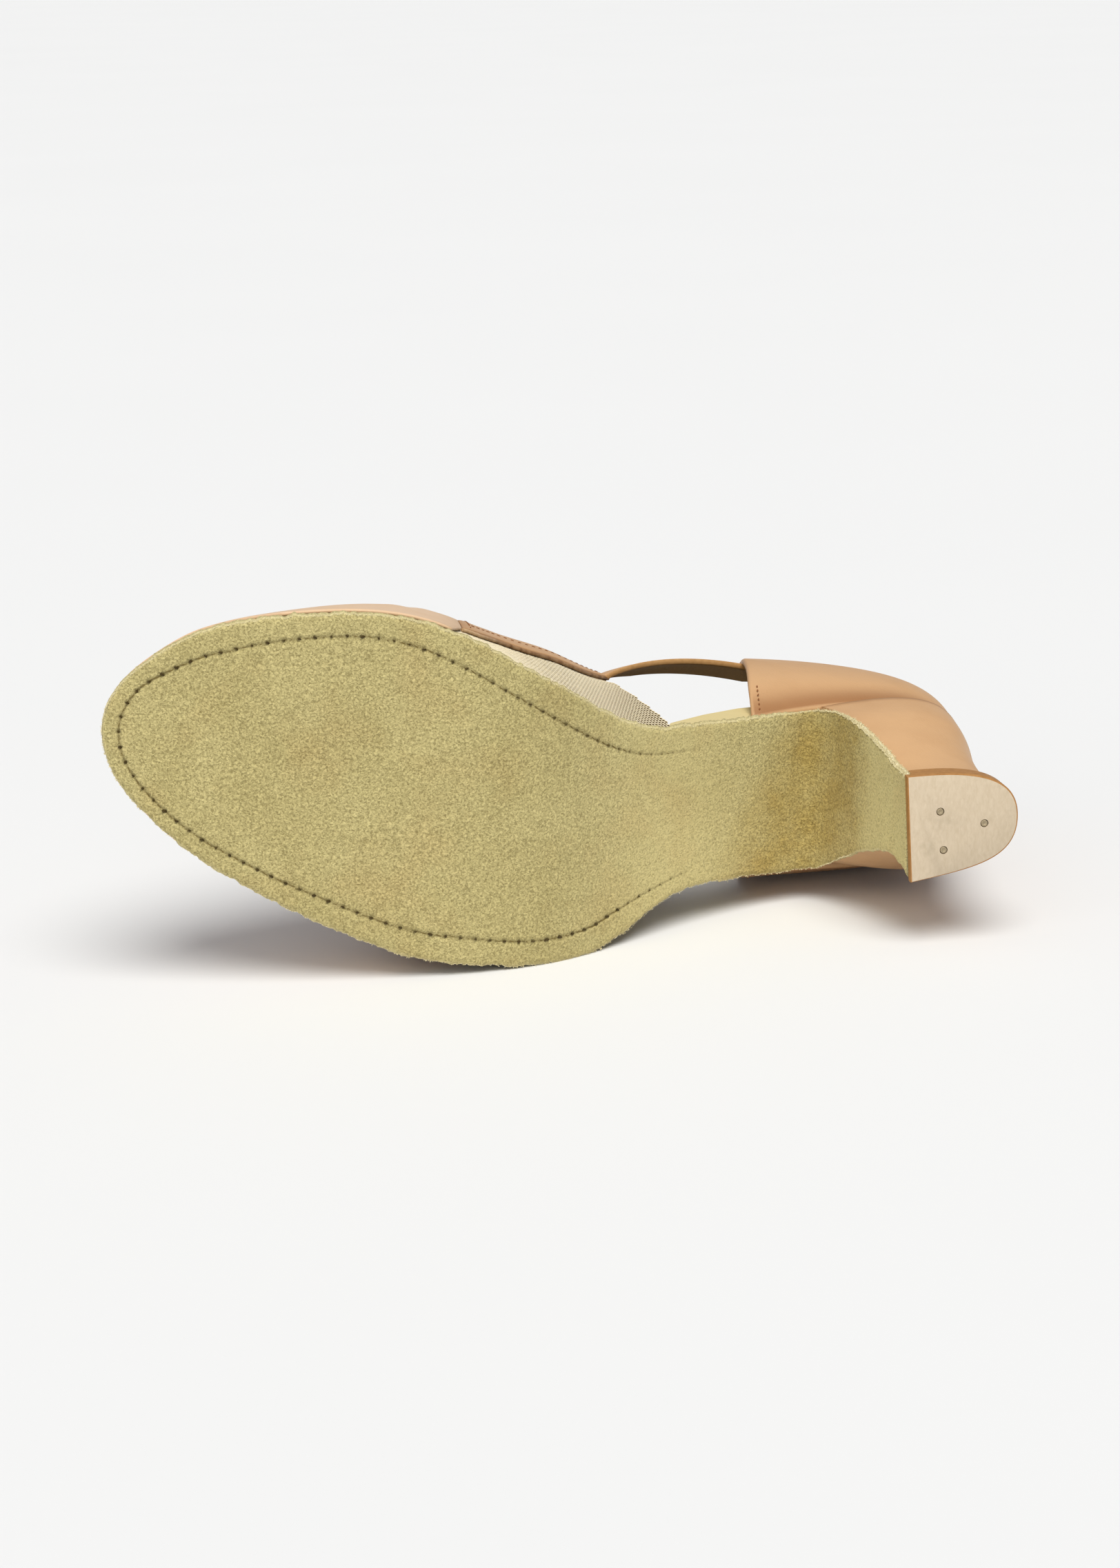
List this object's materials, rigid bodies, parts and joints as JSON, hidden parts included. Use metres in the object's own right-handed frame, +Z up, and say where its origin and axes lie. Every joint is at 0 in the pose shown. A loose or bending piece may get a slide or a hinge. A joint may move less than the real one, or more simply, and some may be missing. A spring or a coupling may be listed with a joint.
{
  "type": "character shoe",
  "caption": "Character dance shoe for the right foot: suede sole, covered flared heel, closed leather toe, mesh vamp and open sides bridged by straps, lying on its outer side.",
  "frame": {"origin": "middle of the bounding box, on the floor that the shoe lies on", "axes": "-X to the toe, -Y to the sole's tread, +Z up, to the inner side of the foot"},
  "size_m": [0.2244, 0.1092, 0.0902],
  "materials": {
    "suede": "napped suede split",
    "board": "matt insole board and sock lining",
    "leather": "soft satin tan",
    "heel": "smooth satin tan cover",
    "lift": "pale raw lift",
    "steel": "dull"
  },
  "bodies": {
    "root": {"outsole": "suede", "insole": "board", "heel": "heel", "heel_lift": "lift", "lift_nail_1": "steel", "lift_nail_2": "steel", "lift_nail_3": "steel", "upper": "leather", "toe_cap": "leather", "instep_band": "leather"}
  },
  "joints": []
}
